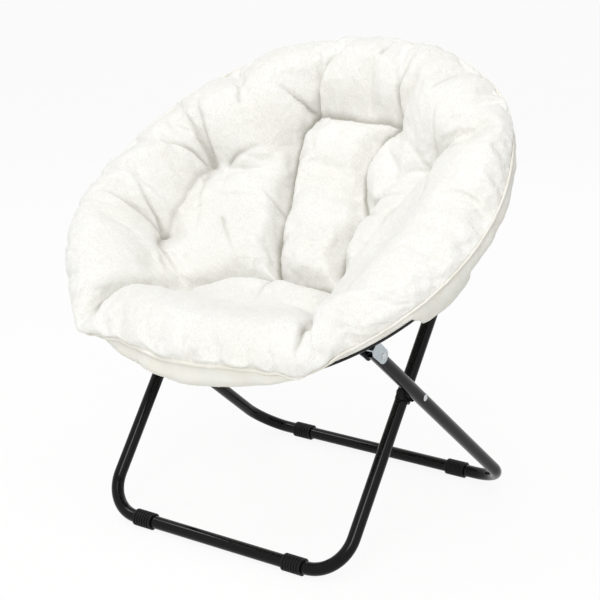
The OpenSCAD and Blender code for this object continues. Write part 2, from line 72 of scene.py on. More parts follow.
def in_hoop_plane(points):
    """Points of the chair as places across and along the hoop's plane."""
    along = (points[:, 1] - HOOP_MIDDLE.y) * TILT_COS + (points[:, 2] - HOOP_MIDDLE.z) * TILT_SIN
    return np.stack([points[:, 0], along], 1)


# Where the hinges sit along the hoop, from the frame's joint, to a tenth of a millimetre, and a reach to
# each side of them, over which the cloth isn't bent
HINGE_PLACES = [joint["pos_m"] for joint in frame["joints"] if joint["name"] == "hoop_fold"]
HINGE_ALONG = round(float(in_hoop_plane(np.array(HINGE_PLACES))[0, 1]), 4)
HINGE_REACH = 0.07


# Sizes and colours that a user would change

class ChairSizes(bpy.types.PropertyGroup):
    cushion_cells: bpy.props.IntProperty(
        name="Cushion cells", description="Squares across the cushion's cloth before it is inflated",
        default=88, min=40, max=140)
    spare_cloth: bpy.props.FloatProperty(
        name="Spare cloth", description="Share of spare plush sewn in between the tufts",
        default=0.09, min=0, max=0.3)
    swell_cap: bpy.props.FloatProperty(
        name="Most swell", description="Furthest that filling pushes a point of the plush out",
        default=0.03, min=0, max=0.05, unit="LENGTH")
    pile_length: bpy.props.FloatProperty(
        name="Pile relief", description="Height of the clumps of pile",
        default=0.0014, min=0, max=0.004, unit="LENGTH")
    piping_d: bpy.props.FloatProperty(
        name="Piping diameter", description="Diameter of the piping in the edge seam",
        default=0.0042, min=0.002, max=0.008, unit="LENGTH")
    cloth_t: bpy.props.FloatProperty(
        name="Cover thickness", description="Thickness of the flat cover cloth",
        default=0.0012, min=0.0005, max=0.003, unit="LENGTH")


class ChairColours(bpy.types.PropertyGroup):
    plush: bpy.props.StringProperty(
        name="Plush", description="Colour of the plush", default="#F2F2EF")
    cover: bpy.props.StringProperty(
        name="Cover", description="Colour of the flat cover cloth", default="#E6E6DF")
    coat: bpy.props.StringProperty(
        name="Powder coat", description="Colour of the frame", default="#040405")
    zinc: bpy.props.StringProperty(
        name="Zinc", description="Colour of the plated brackets", default="#C3CACE")


def sizes():
    return bpy.context.scene.chair_sizes


def colours():
    return bpy.context.scene.chair_colours


# Materials

def linear(hex_colour):
    """An sRGB hex colour as linear red, green, blue and alpha."""
    parts = [int(hex_colour[i:i + 2], 16) / 255 for i in (1, 3, 5)]
    return [c / 12.92 if c <= 0.04045 else ((c + 0.055) / 1.055) ** 2.4 for c in parts] + [1.0]


def per(millimetres):
    """Pattern scale that gives one grain in this length."""
    return 1 / (millimetres * MM)


def fill(tree, node, **inputs):
    """Fills a node's inputs with values or with other nodes' outputs; i3 is input number 3."""
    for key, value in inputs.items():
        numbered = key[0] == "i" and key[1:].isdigit()
        socket = node.inputs[int(key[1:]) if numbered else key.replace("_", " ")]
        if isinstance(value, bpy.types.NodeSocket):
            tree.links.new(value, socket)
        else:
            socket.default_value = value


def add_node(tree, kind, settings=None, stops=(), **inputs):
    """Adds a node, sets its properties and its colour stops, and fills its inputs."""
    node = tree.nodes.new("ShaderNode" + kind)
    for key, value in (settings or {}).items():
        setattr(node, key, value)
    for i, (position, colour) in enumerate(stops):
        node.color_ramp.elements[i].position = position
        node.color_ramp.elements[i].color = linear(colour)
    fill(tree, node, **inputs)
    return node


def new_finish(name):
    """An empty material with its Principled shader and object coordinates in metres."""
    finish = bpy.data.materials.new(name)
    finish.use_nodes = True
    tree = finish.node_tree
    shader = tree.nodes["Principled BSDF"]
    place = add_node(tree, "TexCoord").outputs["Object"]
    return finish, tree, shader, place


def powder_coat():
    """Gloss black polyester powder coat on steel tube: near-black, with a faint orange peel
    that softens the long highlights."""
    finish, tree, shader, place = new_finish("gloss black powder coat")
    peel = add_node(tree, "TexNoise", Vector=place, Scale=per(2.38), Detail=2.0).outputs["Fac"]
    drift = add_node(tree, "TexNoise", Vector=place, Scale=per(111), Detail=3.0).outputs["Fac"]
    tone = add_node(tree, "ValToRGB", stops=[(0.3, colours().coat), (0.75, "#070708")], Fac=drift)
    rough = add_node(tree, "MapRange", Value=drift, i1=0.3, i2=0.7, i3=0.1, i4=0.16)
    bump = add_node(tree, "Bump", Strength=0.08, Distance=0.2 * MM, Height=peel)
    fill(tree, shader, Base_Color=tone.outputs["Color"], Roughness=rough.outputs["Result"],
         Normal=bump.outputs["Normal"], Specular_IOR_Level=0.17)
    return finish


def moulded_black(name, colour, rough_low, rough_high, grain):
    """Injection-moulded black plastic: a fine even grain, given in millimetres, and a dull sheen."""
    finish, tree, shader, place = new_finish(name)
    speck = add_node(
        tree, "TexNoise", Vector=place, Scale=per(grain), Detail=4.0, Roughness=0.6).outputs["Fac"]
    tone = add_node(tree, "ValToRGB", stops=[(0.35, colour), (0.7, "#161617")], Fac=speck)
    rough = add_node(tree, "MapRange", Value=speck, i1=0.2, i2=0.8, i3=rough_low, i4=rough_high)
    bump = add_node(tree, "Bump", Strength=0.2, Distance=0.2 * MM, Height=speck)
    fill(tree, shader, Base_Color=tone.outputs["Color"], Roughness=rough.outputs["Result"],
         Normal=bump.outputs["Normal"], Specular_IOR_Level=0.2)
    return finish


def zinc_plate():
    """Bright zinc-plated pressed steel: a cool pale metal, slightly clouded, with fine rolling lines."""
    finish, tree, shader, place = new_finish("zinc-plated steel")
    cloud = add_node(
        tree, "TexNoise", Vector=place, Scale=per(6.25), Detail=5.0, Roughness=0.65).outputs["Fac"]
    lines = add_node(tree, "Mapping", Vector=place, Scale=(per(0.556), per(5.56), per(5.56)))
    rolled = add_node(tree, "TexNoise", Vector=lines.outputs["Vector"], Scale=1.0, Detail=2.0).outputs["Fac"]
    tone = add_node(tree, "ValToRGB", stops=[(0.3, "#A9B2B8"), (0.7, colours().zinc)], Fac=cloud)
    rough = add_node(tree, "MapRange", Value=cloud, i1=0.3, i2=0.7, i3=0.26, i4=0.42)
    bump = add_node(tree, "Bump", Strength=0.12, Distance=0.1 * MM, Height=rolled)
    fill(tree, shader, Base_Color=tone.outputs["Color"], Roughness=rough.outputs["Result"],
         Normal=bump.outputs["Normal"], Metallic=1.0)
    return finish


def rivet_steel():
    """Nickel-plated rivet steel: a clean satin metal, duller where the head was pressed."""
    finish, tree, shader, place = new_finish("nickel-plated rivet")
    wear = add_node(tree, "TexNoise", Vector=place, Scale=per(1.43), Detail=3.0).outputs["Fac"]
    tone = add_node(tree, "ValToRGB", stops=[(0.3, "#B9BBBD"), (0.7, "#DADCDD")], Fac=wear)
    rough = add_node(tree, "MapRange", Value=wear, i1=0.3, i2=0.7, i3=0.22, i4=0.36)
    fill(tree, shader, Base_Color=tone.outputs["Color"], Roughness=rough.outputs["Result"], Metallic=1.0)
    return finish


def plush_pile():
    """White plush, a knitted backing with a 6 mm polyester pile: matt, with a soft sheen at grazing
    angles, short fibres lying in clumps, and painted shade, a grey cream, down in the folds."""
    finish, tree, shader, place = new_finish("white plush pile")
    clump = add_node(
        tree, "TexNoise", Vector=place, Scale=per(3.7), Detail=4.0, Roughness=0.7).outputs["Fac"]
    bend = add_node(tree, "TexNoise", Vector=place, Scale=per(45.5), Detail=2.0).outputs["Color"]
    lean = add_node(tree, "Mix", {"data_type": "VECTOR"}, i0=0.035, i4=place, i5=bend).outputs[1]
    lay = add_node(tree, "Mapping", Vector=lean, Rotation=(0.6, 0.0, 0.5),
                   Scale=(per(1.316), per(3.33), per(3.33)))
    fibre = add_node(tree, "TexNoise", Vector=lay.outputs["Vector"], Scale=1.0, Detail=3.0).outputs["Fac"]
    drift = add_node(tree, "TexNoise", Vector=place, Scale=per(91), Detail=3.0).outputs["Fac"]
    # Painted shade: a point attribute of the cushion marks its dents, folds, slits and fine lines, and there
    # the colour is mixed towards a darker grey cream
    fold_shade_mask = add_node(tree, "Attribute", {"attribute_name": "tuft_depth"}).outputs["Fac"]
    tone = add_node(tree, "ValToRGB", stops=[(0.36, "#E8E6E0"), (0.54, colours().plush)], Fac=fibre)
    patch = add_node(tree, "ValToRGB", stops=[(0.3, "#F9F8F4"), (0.62, "#FFFFFF")], Fac=drift)
    worn = add_node(tree, "Mix", {"data_type": "RGBA", "blend_type": "MULTIPLY"}, i0=0.5,
                    i6=tone.outputs["Color"], i7=patch.outputs["Color"])
    shaded = add_node(tree, "Mix", {"data_type": "RGBA"}, i0=fold_shade_mask, i6=worn.outputs[2], i7=linear("#A6A294"))
    height = add_node(tree, "Math", {"operation": "MULTIPLY_ADD"}, i0=clump, i1=1.3, i2=fibre).outputs[0]
    bump = add_node(tree, "Bump", Strength=0.6, Distance=1.7 * MM, Height=height)
    fill(tree, shader, Base_Color=shaded.outputs[2], Normal=bump.outputs["Normal"], Roughness=0.95,
         Specular_IOR_Level=0.1, Sheen_Weight=0.3, Sheen_Roughness=0.5)
    return finish


def woven_cover(name, colour):
    """Flat-woven polyester cover cloth: plain weave drawn at 0.75 mm a thread, as a finer one
    doesn't show from here, with slight creasing."""
    finish, tree, shader, place = new_finish(name)
    # the wave texture turns its bands 20 radians in one unit
    thread = per(0.754) * 2 * math.pi / 20
    warp, weft = (
        add_node(tree, "TexWave", {"bands_direction": way}, Vector=place, Scale=thread, Distortion=0.6,
                 Detail=1.0).outputs["Fac"] for way in "XZ")
    weave = add_node(tree, "Math", {"operation": "MULTIPLY"}, i0=warp, i1=weft).outputs[0]
    crease = add_node(
        tree, "TexNoise", Vector=place, Scale=per(38.5), Detail=4.0, Distortion=0.8).outputs["Fac"]
    tone = add_node(tree, "ValToRGB", stops=[(0.3, "#E6E3D9"), (0.6, colour)], Fac=crease)
    height = add_node(tree, "Math", {"operation": "MULTIPLY_ADD"}, i0=crease, i1=6.0, i2=weave).outputs[0]
    bump = add_node(tree, "Bump", Strength=0.35, Distance=0.7 * MM, Height=height)
    fill(tree, shader, Base_Color=tone.outputs["Color"], Normal=bump.outputs["Normal"], Roughness=0.85,
         Specular_IOR_Level=0.2, Sheen_Weight=0.15)
    return finish


# Small helpers

def deselect():
    if bpy.context.object and bpy.context.object.mode != "OBJECT":
        bpy.ops.object.mode_set(mode="OBJECT")
    bpy.ops.object.select_all(action="DESELECT")


def choose(obj):
    deselect()
    obj.select_set(True)
    bpy.context.view_layer.objects.active = obj


def apply_modifier(obj, kind, **settings):
    """Adds a modifier, sets it and applies it."""
    choose(obj)
    modifier = obj.modifiers.new(kind.lower(), kind)
    for key, value in settings.items():
        setattr(modifier, key, value)
    bpy.ops.object.modifier_apply(modifier=modifier.name)


def put_on(obj, material):
    obj.data.materials.clear()
    obj.data.materials.append(material)


def positions(obj):
    co = np.zeros(len(obj.data.vertices) * 3)
    obj.data.vertices.foreach_get("co", co)
    return co.reshape(-1, 3)


def set_positions(obj, co):
    obj.data.vertices.foreach_set("co", np.asarray(co, float).ravel())
    obj.data.update()


def normals_of(obj):
    normals = np.zeros(len(obj.data.vertices) * 3)
    obj.data.vertices.foreach_get("normal", normals)
    return normals.reshape(-1, 3)


def straight_between(values, table):
    """Straight interpolation through a table of (place, value) rows."""
    return np.interp(values, *zip(*table))


def smooth_between(values, table):
    """Eased interpolation through a table of (place, value, value, ...) rows; returns one array a column."""
    table = np.array(table, float)
    values = np.clip(values, table[0, 0], table[-1, 0])
    i = np.clip(np.searchsorted(table[:, 0], values, side="right") - 1, 0, len(table) - 2)
    t = (values - table[i, 0]) / (table[i + 1, 0] - table[i, 0])
    t = t * t * (3 - 2 * t)
    return [table[i, k] + (table[i + 1, k] - table[i, k]) * t for k in range(1, table.shape[1])]


def curve_through(values, table):
    """Smooth curve through a table of (place, value, value, ...) rows; returns one array a column."""
    table = np.array(table, float)
    slopes = np.gradient(table[:, 1:], table[:, 0], axis=0)
    i = np.clip(np.searchsorted(table[:, 0], values, side="right") - 1, 0, len(table) - 2)
    gap = table[i + 1, 0] - table[i, 0]
    t = (np.clip(values, table[0, 0], table[-1, 0]) - table[i, 0]) / gap
    return [(2 * t ** 3 - 3 * t ** 2 + 1) * table[i, k] + (3 * t ** 2 - 2 * t ** 3) * table[i + 1, k]
            + ((t ** 3 - 2 * t ** 2 + t) * slopes[i, k - 1] + (t ** 3 - t ** 2) * slopes[i + 1, k - 1]) * gap
            for k in range(1, table.shape[1])]


def ring_noise(angle, waves, layer):
    """Noise that closes on itself round the hoop."""
    return noise.noise(Vector((math.cos(angle) * waves, math.sin(angle) * waves, layer)))


def ride_over_hinge(obj):
    """Bakes the cloth's placing into its mesh. The places a reach to each side of the hinges are worked out
    but not used, and the cloth isn't bent over the hinges.
    """
    hoop_vector(0, HINGE_ALONG + HINGE_REACH, 0)
    hoop_vector(0, HINGE_ALONG - HINGE_REACH, 0)
    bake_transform(obj)


# The seat's edge seam and its tufts, in millimetres in the hoop's plane

# Degrees round from the middle of the front, to the right above 0: distance outside the tube's centre
# line, height. The seat's front corners poke out, the left one further.
SEAM = [(-180, 9, 21), (-112, 10, 22), (-60, 14, 22), (-43, 18, 22), (-37, 26, 20), (-32, 33, 17),
        (-26, 13, 21), (-20, 1, 26), (-12, -4, 26), (-7, -5, 23), (0, -7, 25), (12, -5, 28), (20, 1, 25),
        (26, 8, 15), (31, 17, 4), (36, 17, 9), (43, 14, 20), (60, 13, 22), (105, 13, 22), (132, 18, 21),
        (152, 12, 22), (180, 9, 21)]
# The roll round the edge, by the same degrees: share of its full height, bulge outwards
ROLL = [(-180, 0.15, -5), (-140, 0.25, -6), (-116, 0.38, -8), (-100, 0.5, -8), (-86, 0.9, -2),
        (-72, 1.2, 10), (-60, 1.35, 19), (-46, 1.25, 20), (-36, 0.9, 12), (-20, 0.35, 0), (20, 0.35, 0),
        (48, 1.0, 0), (110, 0.95, 0), (132, 0.55, -3), (150, 0.25, -4), (180, 0.15, -5)]
# The middle of the front has no roll: degrees to each side, share of this form
FRONT = [(20, 1.0), (48, 0.0)]
# Profile from the middle outwards, at the depth of the tufts: share, radius, height
PROFILE = [(0, 0, -106), (0.37, 150, -88), (0.6, 243, -45), (0.67, 268, -14), (0.735, 296, 14),
           (0.8, 325, 32), (0.86, 352, 40), (0.915, 374, 39), (0.96, 386, 32), (1, 380, 22)]
# How far the filling lifts the plush over that profile: share, height
LIFT = [(0, 32), (0.62, 30), (0.8, 16), (0.95, 3), (1.0, 0)]
# Where on the profile the roll bulges, the front's tuck starts and the edge comes to follow the seam:
# share of the profile, share of the change
BULGE = [(0.76, 0), (0.93, 1), (1.0, 0)]
TUCK_START = [(0.7, 0.0), (0.8, 1.0)]
EDGE = [(0.72, 0.0), (1.0, 1.0)]
EDGE_POWER = 1.5
# How far the front is tucked in
FRONT_TUCK = 4
# From this share of the radius outwards a point is on the rim
RIM_SHARE = 0.999
# The sitter's weight has flattened the front pillow: by how much, where along the hoop and how wide,
# with the shares that squeeze that round place across and along
FLATTENED = 19
FLATTENED_ALONG = -170
FLATTENED_WIDTH = 90
FLATTENED_SHARES = (0.8, 1.5)
# Sewn tufts: place, and how far round it the plush is drawn down
TUFTS = [(-95, 236, 34), (80, 237, 32), (-238, 92, 34), (200, 142, 25), (-242, -76, 34),
         (-79, 50, 15), (86, 60, 15), (-15, -92, 26), (115, -95, 30)]
WIDEST_TUFT = 34
# Sewn folds where two pillows of filling meet: points along the fold, and how deep it is
SEWN_FOLDS = [
    (((-95, 236), (-111, 200), (-110, 162), (-98, 120), (-85, 76), (-79, 50)), 0.9),
    (((-79, 50), (-70, 15), (-58, -25), (-36, -66), (-15, -92)), 1.0),
    (((80, 237), (52, 208), (40, 178), (39, 146), (55, 106), (86, 60)), 0.8),
    (((86, 60), (76, 20), (78, -20), (94, -58), (115, -95)), 0.95),
    (((-95, 236), (-42, 242), (16, 242), (80, 237)), 0.75),
    (((-15, -92), (50, -92), (115, -95)), 0.9),
    (((-15, -92), (-83, -110), (-128, -150), (-168, -215), (-199, -274)), 1.0),
    (((115, -95), (126, -145), (150, -195)), 0.8),
    (((-238, 88), (-243, 20), (-242, -74)), 0.3),
    (((-242, -78), (-226, -116), (-196, -150)), 0.22)]
# A fold that goes on from a sewn one to the right front corner, but isn't sewn down
LOOSE_FOLD = (((150, -195), (182, -248), (196, -297)), 0.25)
FOLDS = SEWN_FOLDS + [LOOSE_FOLD]
# Creases that run out from the tufts: points, depth, width
CREASES = [
    (((-95, 234), (-88, 270), (-70, 302), (-55, 338)), 11, 10),
    (((-90, 252), (-95, 312)), 5, 8),
    (((-99, 238), (-121, 236), (-150, 236)), 8, 9),
    (((80, 238), (79, 265), (87, 290), (90, 342)), 10, 10),
    (((78, 262), (68, 316)), 4, 8),
    (((-238, 92), (-270, 118), (-295, 136)), 7, 8),
    (((-240, 96), (-254, 128), (-282, 172)), 6, 8),
    (((-244, 86), (-305, 64)), 7, 8),
    (((-236, 80), (-224, 24), (-178, -72)), 4, 11),
    (((-211, 98), (-180, 115), (-152, 138)), 7, 8),
    (((-238, 86), (-243, 20), (-242, -76)), 6, 12),
    (((-242, -78), (-266, -76), (-335, -82)), 7, 8),
    (((-248, -72), (-295, -28)), 8, 9),
    (((-242, -80), (-230, -104), (-204, -126), (-160, -158)), 9, 10),
    (((-154, -20), (-95, -84)), 5, 10),
    (((200, 142), (192, 178), (187, 214)), 4, 9),
    (((198, 140), (170, 150), (108, 194)), 4, 12),
    (((202, 135), (203, 108), (180, 74), (152, 20), (142, -55)), 5, 12),
    (((202, 146), (224, 156), (280, 166)), 4, 9),
    (((200, 142), (240, 40), (240, -66)), 4, 14),
    (((226, -60), (216, -150), (186, -290)), 4, 14),
    (((-199, -274), (-206, -320)), 15, 10),
    (((182, -248), (194, -290), (202, -326)), 9, 9),
    (((84, 58), (140, 30)), 4, 8),
    (((-80, 48), (-120, 62)), 5, 8),
    (((-15, -92), (-4, -150), (12, -176)), 6, 12),
    (((30, 320), (36, 364)), 4, 9),
    (((170, 250), (200, 318)), 4, 10),
    (((-200, 180), (-238, 262)), 4, 10)]
# How far beside a fold the thread draws down the lifted plush, and that reach as a share of a tuft's width
FOLD_SPREAD = 13
TUFT_SPREAD_SHARE = 0.8
# How far round a tuft and beside a fold the stitches hold the cloth
TUFT_STITCH = 7
FOLD_STITCH = 5
# What is pressed in after the filling: the folds between pillows and the fine slit in each
FOLD_DEPTH = 17
FOLD_WIDTH = 26
SLIT_DEPTH = 5
SLIT_WIDTH = 2.2
# The tufts' dents and the small pit in each, which is full in a tuft of this width
DENT_DEPTH = 24
PIT_WIDTH = 4
PIT_FULL = 30
# The creases' most depth, and the fine line in each, which is full in a crease of this depth
CREASE_MOST = 15
PINCH_DEPTH = 3.5
PINCH_WIDTH = 1.9
PINCH_FULL = 8
# A crease is partly a round hollow, narrower than the crease, and partly a sharp fold
HOLLOW_SHARE = 0.6
HOLLOW_WIDTH_SHARE = 1 / 2.2
# A crease and its line die out from a little before the end, by these shares of the distance to it
CREASE_REACH_SHARE = 1.3
PINCH_REACH_SHARE = 1.1
# All of it fades out over this width, up to this far outside the seam
FADE_WIDTH = 30
FADE_OUTSIDE = 12
# How dark the painted shade is in the folds, slits and fine lines, where a tuft is 1
FOLD_SHADE = 0.6
SLIT_SHADE = 0.9
PINCH_SHADE = 0.55
# Clumps of pile in a metre, large and small, how high the small ones stand where the large are 1, how far
# their pattern is shifted, and the share of the relief that is left at the seam
LARGE_CLUMPS = 90
SMALL_CLUMPS = 230
SMALL_CLUMP_SHARE = 0.5
SMALL_CLUMP_SHIFT = Vector((7, 3, 1))
SEAM_PILE_SHARE = 0.3
# Frames of the cloth simulation
FILLING_FRAMES = 22
# The plain cloth under the cushion, from the seam inwards: radius, height; and its middle's height
CUSHION_BACK = [(373.5, 12.5), (360.5, 11.5), (352, -2), (345, -9), (300, -46), (240, -87), (170, -123),
                (100, -147), (40, -157.5)]
CUSHION_BACK_MIDDLE = -159


def from_front_degrees(angle):
    """Degrees round from the middle of the front, above 0 to the right, from an angle in the hoop's plane."""
    return (np.degrees(angle) + 90 + 180) % 360 - 180


def seam_at(angle):
    """Radius and height of the edge seam, in metres, at angles in the hoop's plane."""
    outside, height = smooth_between(from_front_degrees(angle), SEAM)
    return HOOP_R + outside * MM, height * MM


def line_distance(points, line):
    """Distance from points to a line of several stretches, in the hoop's plane."""
    best = np.full(len(points), np.inf)
    for a, b in zip(line[:-1], line[1:]):
        a, b = np.array(a) * MM, np.array(b) * MM
        t = np.clip((points - a) @ (b - a) / ((b - a) @ (b - a)), 0, 1)
        best = np.minimum(best, np.linalg.norm(points - a - t[:, None] * (b - a), axis=1))
    return best


def bell(distance, width):
    return np.exp(-0.5 * (distance / (width * MM)) ** 2)


def fold(distance, width):
    """Two round pillows that touch along a line: steep beside the line, level a width away."""
    t = np.clip(distance / (width * MM), 0, 1)
    return 1 - np.sqrt(1 - (1 - t) ** 2)


def tuft_distance(flat, tuft):
    return np.linalg.norm(flat - np.array(tuft[:2]) * MM, axis=1)


def drawn_down(flat):
    """How far the thread draws the plush down at points of the hoop's plane, from 0 to 1."""
    pull = np.zeros(len(flat))
    for tuft in TUFTS:
        pull = np.maximum(pull, bell(tuft_distance(flat, tuft), tuft[2] * TUFT_SPREAD_SHARE))
    for line, strength in FOLDS:
        pull = np.maximum(pull, strength * bell(line_distance(flat, line), FOLD_SPREAD))
    return pull


def round_grid(cells):
    """Flat grid of squares drawn into a disc of radius 1, as share of the radius and angle."""
    bpy.ops.mesh.primitive_grid_add(x_subdivisions=cells, y_subdivisions=cells, size=2)
    obj = bpy.context.object
    co = positions(obj)
    x, y = co[:, 0], co[:, 1]
    wide = np.abs(x) > np.abs(y)
    big = np.where(wide, x, y)
    small = np.where(wide, y, x)
    turn = np.divide(small, big, out=np.zeros_like(small), where=np.abs(big) > 1e-9) * math.pi / 4
    px = np.where(wide, big * np.cos(turn), big * np.sin(turn))
    py = np.where(wide, big * np.sin(turn), big * np.cos(turn))
    return obj, np.hypot(px, py), np.arctan2(py, px)


class CHAIR_OT_seat_cushion(bpy.types.Operator):
    """Make the tufted plush cushion that fills the hoop"""
    bl_idname = "chair.seat_cushion"
    bl_label = "Seat cushion"

    def execute(self, context):
        deselect()
        obj, share, angle = round_grid(sizes().cushion_cells)
        obj.name = "seat_cushion"
        flat, up = self.sewn_shape(share, angle)
        set_positions(obj, hoop_point(flat[:, 0], flat[:, 1], up))
        start = positions(obj)
        self.inflate(obj, flat, share)
        self.limit_swell(obj, start)
        apply_modifier(obj, "SUBSURF", levels=2, render_levels=2, boundary_smooth="PRESERVE_CORNERS")
        self.press_creases(obj)
        self.close_below(obj)
        put_on(obj, plush_pile())
        bpy.ops.object.shade_smooth()
        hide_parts("back_seat_pad", "front_seat_pad")
        ride_over_hinge(obj)
        return {"FINISHED"}

    def sewn_shape(self, share, angle):
        """Where the plush lies before it is inflated: places in the hoop's plane, and heights."""
        around = from_front_degrees(angle)
        radius, up = (v * MM for v in curve_through(share, PROFILE))
        edge_r, edge_up = PROFILE[-1][1] * MM, PROFILE[-1][2] * MM
        seam_r, seam_up = seam_at(angle)
        roll, bulge = smooth_between(around, ROLL)
        up = np.where(up > edge_up, edge_up + (up - edge_up) * roll, up)
        radius = radius + bulge * MM * straight_between(share, BULGE)
        to_edge = straight_between(share, EDGE) ** EDGE_POWER
        tucked = straight_between(np.abs(around), FRONT) * straight_between(share, TUCK_START)
        radius = radius + (seam_r - edge_r) * to_edge - tucked * (1 - to_edge) * FRONT_TUCK * MM
        up = up + (seam_up - edge_up) * to_edge
        flat = np.stack([radius * np.cos(angle), radius * np.sin(angle)], 1)
        up = up + straight_between(share, LIFT) * MM * (1 - drawn_down(flat))
        squeeze_x, squeeze_y = FLATTENED_SHARES
        away = np.hypot(flat[:, 0] * squeeze_x, (flat[:, 1] - FLATTENED_ALONG * MM) * squeeze_y)
        return flat, up - FLATTENED * MM * bell(away, FLATTENED_WIDTH)

    def inflate(self, obj, flat, share):
        """Lets the filling push the plush out between the tufts, sewn folds and edge seam."""
        held = share > RIM_SHARE
        for tuft in TUFTS:
            held |= tuft_distance(flat, tuft) < TUFT_STITCH * MM
        for line, _ in SEWN_FOLDS:
            held |= line_distance(flat, line) < FOLD_STITCH * MM
        group = obj.vertex_groups.new(name="sewn")
        group.add([int(i) for i in np.nonzero(held)[0]], 1.0, "REPLACE")
        cloth = obj.modifiers.new("filling", "CLOTH")
        plush = cloth.settings
        plush.vertex_group_mass = group.name
        plush.quality = 6
        plush.mass = 0.25
        plush.tension_stiffness = 18
        plush.compression_stiffness = 18
        plush.shear_stiffness = 8
        plush.bending_stiffness = 0.6
        plush.shrink_min = -sizes().spare_cloth
        plush.use_pressure = True
        plush.uniform_pressure_force = 5
        plush.effector_weights.gravity = 0
        cloth.point_cache.frame_start = 1
        cloth.point_cache.frame_end = FILLING_FRAMES
        for frame_number in range(1, FILLING_FRAMES + 1):
            bpy.context.scene.frame_set(frame_number)
        choose(obj)
        bpy.ops.object.modifier_apply(modifier=cloth.name)
        bpy.context.scene.frame_set(1)
        obj.vertex_groups.clear()

    def limit_swell(self, obj, start):
        """Keeps each point within the most swell of where it was sewn, with no sharp limit."""
        cap = sizes().swell_cap
        moved = positions(obj) - start
        far = np.linalg.norm(moved, axis=1)
        moved *= np.minimum(1, cap * np.tanh(far / cap) / np.maximum(far, 1e-9))[:, None]
        set_positions(obj, start + moved)

    def press_creases(self, obj):
        """Presses in the creases, folds and tufts, lifts the pile in clumps, and keeps each point's painted
        shade for the plush's colour.
        """
        co = positions(obj)
        normals = normals_of(obj)
        flat = in_hoop_plane(co)
        pressed, pinch = self.creases(flat)
        folds, slit, dents = self.folds_and_dents(flat)
        for tuft in TUFTS:
            pit = bell(tuft_distance(flat, tuft), PIT_WIDTH) * min(1, tuft[2] / PIT_FULL)
            pinch = np.maximum(pinch, pit)
        seam_r, _ = seam_at(np.arctan2(flat[:, 1], flat[:, 0]))
        inside = seam_r + FADE_OUTSIDE * MM - np.hypot(flat[:, 0], flat[:, 1])
        fade = np.clip(inside / (FADE_WIDTH * MM), 0, 1)
        sunk = (np.maximum(folds * FOLD_DEPTH, dents * DENT_DEPTH) + slit * SLIT_DEPTH) * MM * fade
        drawn_in = (np.minimum(pressed, CREASE_MOST * MM) + pinch * PINCH_DEPTH * MM) * fade
        co -= normals * drawn_in[:, None] + np.array([0, -TILT_SIN, TILT_COS]) * sunk[:, None]
        points = [Vector(p) for p in co]
        large = np.array([noise.noise(p * LARGE_CLUMPS) for p in points])
        small = np.array([noise.noise(p * SMALL_CLUMPS + SMALL_CLUMP_SHIFT) for p in points])
        pile = (large + SMALL_CLUMP_SHARE * small) * sizes().pile_length
        co += normals * (pile * np.clip(fade + SEAM_PILE_SHARE, 0, 1))[:, None]
        set_positions(obj, co)
        # Painted shade: how far the plush's colour is darkened in the dents, folds, slits and fine lines,
        # kept as a point attribute
        shade = np.max([dents ** 3, folds ** 3 * FOLD_SHADE, slit * SLIT_SHADE, pinch * PINCH_SHADE], axis=0)
        depth = obj.data.attributes.new("tuft_depth", "FLOAT", "POINT")
        depth.data.foreach_set("value", (np.clip(shade, 0, 1) * fade).astype(np.float32))

    def creases(self, flat):
        """Depth of the creases, which die out along their length, and of the fine line in each."""
        pressed = np.zeros(len(flat))
        pinch = np.zeros(len(flat))
        for line, depth, width in CREASES:
            d = line_distance(flat, line)
            start, end = np.array(line[0]) * MM, np.array(line[-1]) * MM
            away = np.linalg.norm(flat - start, axis=1) / np.linalg.norm(end - start)
            hollow = bell(d, width * HOLLOW_WIDTH_SHARE)
            section = HOLLOW_SHARE * hollow + (1 - HOLLOW_SHARE) * fold(d, width)
            pressed += section * depth * MM * np.clip(CREASE_REACH_SHARE - away, 0, 1)
            fine = bell(d, PINCH_WIDTH) * np.clip(PINCH_REACH_SHARE - away, 0, 1)
            pinch = np.maximum(pinch, fine * min(1, depth / PINCH_FULL))
        return pressed, pinch

    def folds_and_dents(self, flat):
        """Shares, from 0 to 1, of the folds between pillows, of the slit in each and of the tufts' dents."""
        folds, slit, dents = np.zeros((3, len(flat)))
        for line, strength in FOLDS:
            d = line_distance(flat, line)
            folds = np.maximum(folds, strength * fold(d, FOLD_WIDTH))
            slit = np.maximum(slit, strength * bell(d, SLIT_WIDTH))
        for tuft in TUFTS:
            dents = np.maximum(dents, tuft[2] / WIDEST_TUFT * fold(tuft_distance(flat, tuft), tuft[2]))
        return folds, slit, dents

    def close_below(self, obj):
        """Closes the cushion with the plain cloth that lies in the bowl."""
        mesh = bmesh.new()
        mesh.from_mesh(obj.data)
        rim = [e for e in mesh.edges if e.is_boundary]
        loop = [rim[0].verts[0], rim[0].verts[1]]
        while True:
            step = [e.other_vert(loop[-1]) for e in loop[-1].link_edges
                    if e.is_boundary and e.other_vert(loop[-1]) is not loop[-2]]
            if step[0] is loop[0]:
                break
            loop.append(step[0])
        flat = in_hoop_plane(np.array([v.co for v in loop]))
        angles = np.arctan2(flat[:, 1], flat[:, 0])
        inner = loop
        for radius, up in CUSHION_BACK:
            ring = [mesh.verts.new(hoop_vector(radius * MM * math.cos(a), radius * MM * math.sin(a), up * MM))
                    for a in angles]
            for i in range(len(ring)):
                j = (i + 1) % len(ring)
                mesh.faces.new((inner[i], inner[j], ring[j], ring[i]))
            inner = ring
        middle = mesh.verts.new(hoop_vector(0, 0, CUSHION_BACK_MIDDLE * MM))
        for i in range(len(inner)):
            mesh.faces.new((inner[i], inner[(i + 1) % len(inner)], middle))
        bmesh.ops.recalc_face_normals(mesh, faces=mesh.faces)
        mesh.to_mesh(obj.data)
        mesh.free()


def ring_angles(count):
    return 2 * math.pi * np.arange(count) / count


